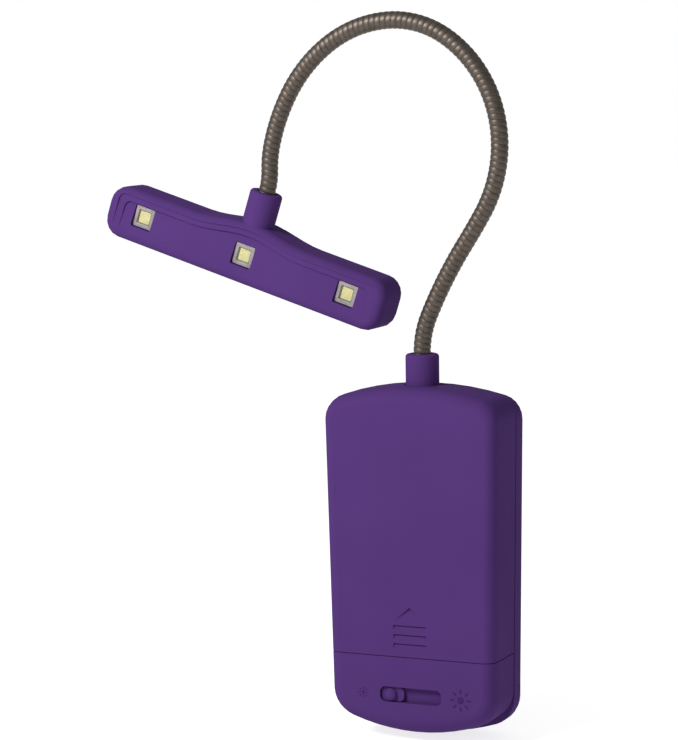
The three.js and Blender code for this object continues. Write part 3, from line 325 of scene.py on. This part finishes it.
def dress(node, material, bevel_width):
    """Gives a CAD node its material, soft edges and smooth shading."""
    node.data.materials.clear()
    node.data.materials.append(material)
    set_smooth(node.data, True)
    weld = node.modifiers.new("weld", "WELD")
    weld.merge_threshold = WELD_DISTANCE
    merge = node.modifiers.new("merge_flat_faces", "DECIMATE")
    merge.decimate_type = "DISSOLVE"
    merge.angle_limit = FLAT_ANGLE
    bevel = node.modifiers.new("bevel", "BEVEL")
    bevel.width = bevel_width
    bevel.segments = BEVEL_SEGMENTS
    bevel.limit_method = "ANGLE"
    bevel.angle_limit = SHARP_ANGLE
    bevel.use_clamp_overlap = True
    normals = node.modifiers.new("normals", "WEIGHTED_NORMAL")
    normals.keep_sharp = True


def add_object(name, data):
    """A new object in the scene."""
    item = bpy.data.objects.new(name, data)
    bpy.context.scene.collection.objects.link(item)
    return item


def mesh_object(name, vertices, faces, material):
    """A smooth mesh with one material."""
    mesh = bpy.data.meshes.new(name)
    mesh.from_pydata([tuple(v) for v in vertices], [], faces)
    mesh.update()
    set_smooth(mesh, True)
    mesh.materials.append(material)
    return add_object(name, mesh)


def neck_arcs():
    """Start, length, heading, bend and starting point of each arc of the neck's centre line."""
    arcs = []
    point = COLLAR_TOP.copy()
    heading = math.pi / 2
    start = 0.0
    for share, turn in NECK_ARCS:
        length = NECK_LENGTH * share
        bend = math.radians(turn) / length
        arcs.append((start, length, heading, bend, point.copy()))
        point = along_arc(point, heading, bend, length)
        heading += bend * length
        start += length
    return arcs


def along_arc(point, heading, bend, length):
    """The place at a distance along an arc that lies in the XZ plane."""
    x = (math.sin(heading + bend * length) - math.sin(heading)) / bend
    z = (math.cos(heading) - math.cos(heading + bend * length)) / bend
    return point + Vector((x, 0, z))


def neck_place(arcs, at):
    """Point and heading of the neck's centre line. Outside its ends it runs straight on."""
    begun = (arc for arc in reversed(arcs) if arc[0] <= at)
    start, length, heading, bend, point = next(begun, arcs[0])
    inside = min(max(at - start, 0), length)
    direction = heading + bend * inside
    along = Vector((math.cos(direction), 0, math.sin(direction)))
    return along_arc(point, heading, bend, inside) + along * (at - start - inside), along


def rib_radius(turns):
    """Radius of the wound neck, at a place counted in turns of its rounded strip."""
    off_crown = abs(2 * (turns - math.floor(turns)) - 1)
    groove = max(off_crown - GROOVE_START, 0) / (1 - GROOVE_START)
    return NECK_RADIUS - RIB_CROWN * off_crown**2 - GROOVE_DEPTH * groove


def neck_piece(name, arcs, start, end, material):
    """A stretch of the wound neck between two distances, closed at both ends.

    It has as many rings for each turn as sides, so the strip's groove runs along the faces' edges.
    The groove crosses each joint at the neck's front, where it hides the seam.
    """
    steps = NECK_RIBS * NECK_SIDES / NECK_LENGTH
    first = round(start * steps)
    rings = round(end * steps) - first
    vertices = []
    for ring in range(first, first + rings + 1):
        point, along = neck_place(arcs, ring / steps)
        across = Vector((0, 1, 0))
        side = along.cross(across)
        for i in range(NECK_SIDES):
            angle = 2 * math.pi * i / NECK_SIDES
            radius = rib_radius((ring - i) / NECK_SIDES + GROOVE_SIDE)
            vertices.append(point + radius * (side * math.cos(angle) + across * math.sin(angle)))
    faces = []
    for ring in range(rings):
        for i in range(NECK_SIDES):
            a = ring * NECK_SIDES + i
            b = ring * NECK_SIDES + (i + 1) % NECK_SIDES
            faces.append((a, b, b + NECK_SIDES))
            faces.append((a, b + NECK_SIDES, a + NECK_SIDES))
    faces.append(tuple(reversed(range(NECK_SIDES))))
    faces.append(tuple(range(rings * NECK_SIDES, (rings + 1) * NECK_SIDES)))
    piece = mesh_object(name, vertices, faces, material)
    for cap in piece.data.polygons[-2:]:
        cap.use_smooth = False
    return piece


def add_neck(frame, material):
    """The neck in one piece for each joint, each curved along the neck's centre line."""
    arcs = neck_arcs()
    chain = [joint for joint in frame["joints"] if joint["name"].startswith("neck_")]
    for k, joint in enumerate(chain):
        inner_start = NECK_LENGTH * k / NECK_JOINTS
        inner_end = NECK_LENGTH * (k + 1) / NECK_JOINTS
        start = -NECK_IN_BODY if k == 0 else inner_start
        end = NECK_LENGTH + NECK_IN_HEAD if k == NECK_JOINTS - 1 else inner_end
        piece = neck_piece(f"wound_neck_{k + 1}", arcs, start, end, material)
        bend_start = neck_place(arcs, inner_start)[0]
        bend_end = neck_place(arcs, inner_end)[0]
        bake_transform(piece)
        replaced = [f"neck_segment_{k + 1}"]
        if k == NECK_JOINTS - 1:
            replaced.append(f"neck_segment_{k + 2}")
        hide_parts(*replaced)


def add_dish_walls(frame, number, material):
    """Walls that slope from the rim of a lamp's dish down to its phosphor."""
    phosphor_node = frame["nodes"][f"led_phosphor_{number}"]
    corners = [phosphor_node.matrix_world @ Vector(corner) for corner in phosphor_node.bound_box]
    centre = sum(corners, Vector()) / len(corners)
    front = min(corner.y for corner in corners)
    along = Vector((math.cos(HEAD_TURN), 0, -math.sin(HEAD_TURN)))
    up = Vector((math.sin(HEAD_TURN), 0, math.cos(HEAD_TURN)))
    rows = ((PHOSPHOR_HALF, front), (DISH_HALF, front - WALL_RISE), (DISH_HALF, front))
    vertices = []
    for half, y in rows:
        middle = Vector((centre.x, y, centre.z))
        for a, b in SQUARE:
            vertices.append(middle + half * (a * along + b * up))
    faces = []
    for row in range(len(rows)):
        low = row * len(SQUARE)
        high = (row + 1) % len(rows) * len(SQUARE)
        for i in range(len(SQUARE)):
            after = (i + 1) % len(SQUARE)
            faces.append((low + i, low + after, high + after, high + i))
    walls = mesh_object(f"dish_walls_{number}", vertices, faces, material)
    set_smooth(walls.data, False)
    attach(walls, frame["joints"][-1]["child"])


def lens_shape(name, centre_x, centre_z, half_length, half_width, turn, material):
    """A low rounded dash of relief on the body's front face."""
    vertices = []
    for level in range(MARK_LEVELS + 1):
        lift = level / MARK_LEVELS
        size = math.sqrt(1 - lift**2)
        for i in range(MARK_SIDES):
            angle = 2 * math.pi * i / MARK_SIDES
            u = half_length * size * math.cos(angle)
            v = half_width * size * math.sin(angle)
            x = centre_x + u * math.cos(turn) - v * math.sin(turn)
            z = centre_z + u * math.sin(turn) + v * math.cos(turn)
            vertices.append((x, BODY_FRONT + MARK_SINK - MARK_RELIEF * lift, z))
    faces = [tuple(range(MARK_SIDES))]
    for level in range(MARK_LEVELS):
        for i in range(MARK_SIDES):
            a = level * MARK_SIDES + i
            b = level * MARK_SIDES + (i + 1) % MARK_SIDES
            faces.append((a, a + MARK_SIDES, b + MARK_SIDES, b))
    return mesh_object(name, vertices, faces, material)


def add_brightness_mark(name, centre_x, radius, material):
    """A dot with rays round it, which stands for the light's brightness, in a darker purple that
    paints the shade a sunk mark would hold.
    """
    dot = radius * DOT_RADIUS
    reach = radius * RAY_REACH
    length = radius * RAY_HALF_LENGTH
    width = radius * RAY_HALF_WIDTH
    parts = [lens_shape(name, centre_x, MARK_HEIGHT, dot, dot, 0, material)]
    for ray in range(MARK_RAYS):
        angle = 2 * math.pi * ray / MARK_RAYS
        x = centre_x + reach * math.cos(angle)
        z = MARK_HEIGHT + reach * math.sin(angle)
        parts.append(lens_shape(f"{name}_ray_{ray + 1}", x, z, length, width, angle, material))
    for part in parts:
        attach(part, "housing")


def add_floor():
    """Pale floor under the light, with a glow of its own."""
    shader = Shader(
        "pale_floor",
        Base_Color=FLOOR_TONE,
        Roughness=0.9,
        Specular_IOR_Level=0.1,
        Emission_Color=WHITE,
        Emission_Strength=FLOOR_GLOW,
    )
    height = LOWEST_POINT - FLOOR_GAP
    corners = [(a * FLOOR_HALF, b * FLOOR_HALF, height) for a, b in SQUARE]
    mesh_object("floor", corners, [(0, 1, 2, 3)], shader.material)


def add_key():
    """A round soft lamp, near enough that what lies high up gets more of it."""
    data = bpy.data.lights.new("key", "AREA")
    data.shape = "DISK"
    data.size = KEY_SIZE
    data.energy = KEY * math.pi * KEY_DISTANCE**2
    light = add_object("key", data)
    away = KEY_DIRECTION.normalized()
    light.location = KEY_AIM + away * KEY_DISTANCE
    light.rotation_euler = (-away).to_track_quat("-Z", "Y").to_euler()


def add_light():
    """White studio: a soft key from the front left, and even light from all round."""
    world = bpy.data.worlds.new("white_studio")
    world.use_nodes = True
    nodes = world.node_tree.nodes
    links = world.node_tree.links
    ambient = nodes["Background"]
    ambient.inputs["Color"].default_value = WHITE
    ambient.inputs["Strength"].default_value = AMBIENT
    backdrop = nodes.new("ShaderNodeBackground")
    backdrop.inputs["Color"].default_value = WHITE
    backdrop.inputs["Strength"].default_value = BACKDROP
    mix = nodes.new("ShaderNodeMixShader")
    links.new(nodes.new("ShaderNodeLightPath").outputs["Is Camera Ray"], mix.inputs["Fac"])
    links.new(ambient.outputs["Background"], mix.inputs[1])
    links.new(backdrop.outputs["Background"], mix.inputs[2])
    links.new(mix.outputs["Shader"], nodes["World Output"].inputs["Surface"])
    bpy.context.scene.world = world
    add_key()


def add_camera():
    """Camera at the photograph's viewing angle."""
    data = bpy.data.cameras.new("camera")
    data.lens = CAMERA_LENS
    data.sensor_width = CAMERA_SENSOR
    camera = add_object("camera", data)
    level = math.cos(CAMERA_ELEVATION)
    x = math.sin(CAMERA_AZIMUTH) * level
    y = -math.cos(CAMERA_AZIMUTH) * level
    away = Vector((x, y, math.sin(CAMERA_ELEVATION)))
    camera.location = CAMERA_TARGET + away * CAMERA_DISTANCE
    aim = (-away).to_track_quat("-Z", "Y").to_matrix()
    camera.rotation_euler = (aim @ Matrix.Rotation(-CAMERA_ROLL, 3, "Z")).to_euler()
    bpy.context.scene.camera = camera


def main():
    frame, cad_box = load_frame()
    bpy.context.scene.view_settings.view_transform = "Standard"
    materials = {
        "body_plastic": soft_plastic("purple_plastic"),
        "neck_metal": neck_steel(),
        "steel": bright_steel(),
        "rubber": pad_rubber(),
        "board": plain_plastic("board_green"),
        "switch_plastic": plain_plastic("switch_black"),
        "cell_sleeve": plain_plastic("cell_sleeve"),
        "lamp_frame": lamp_frame(),
        "phosphor": phosphor(),
    }
    # The marks are raised; their darker purple paints the shade that sunk marks would hold
    mark_painted_shade = soft_plastic("mark_painted_shade")
    for part in frame["record"]["subparts"]:
        slot = part["material_slot"]
        dress(frame["nodes"][part["node"]], materials[slot], BEVELS.get(slot, OTHER_BEVEL))
    add_neck(frame, materials["neck_metal"])
    for number in range(1, LAMPS + 1):
        add_dish_walls(frame, number, materials["lamp_frame"])
    add_brightness_mark("small_mark", SMALL_MARK_X, SMALL_MARK_RADIUS, mark_painted_shade)
    add_brightness_mark("large_mark", LARGE_MARK_X, LARGE_MARK_RADIUS, mark_painted_shade)
    add_floor()
    add_light()
    add_camera()


main()
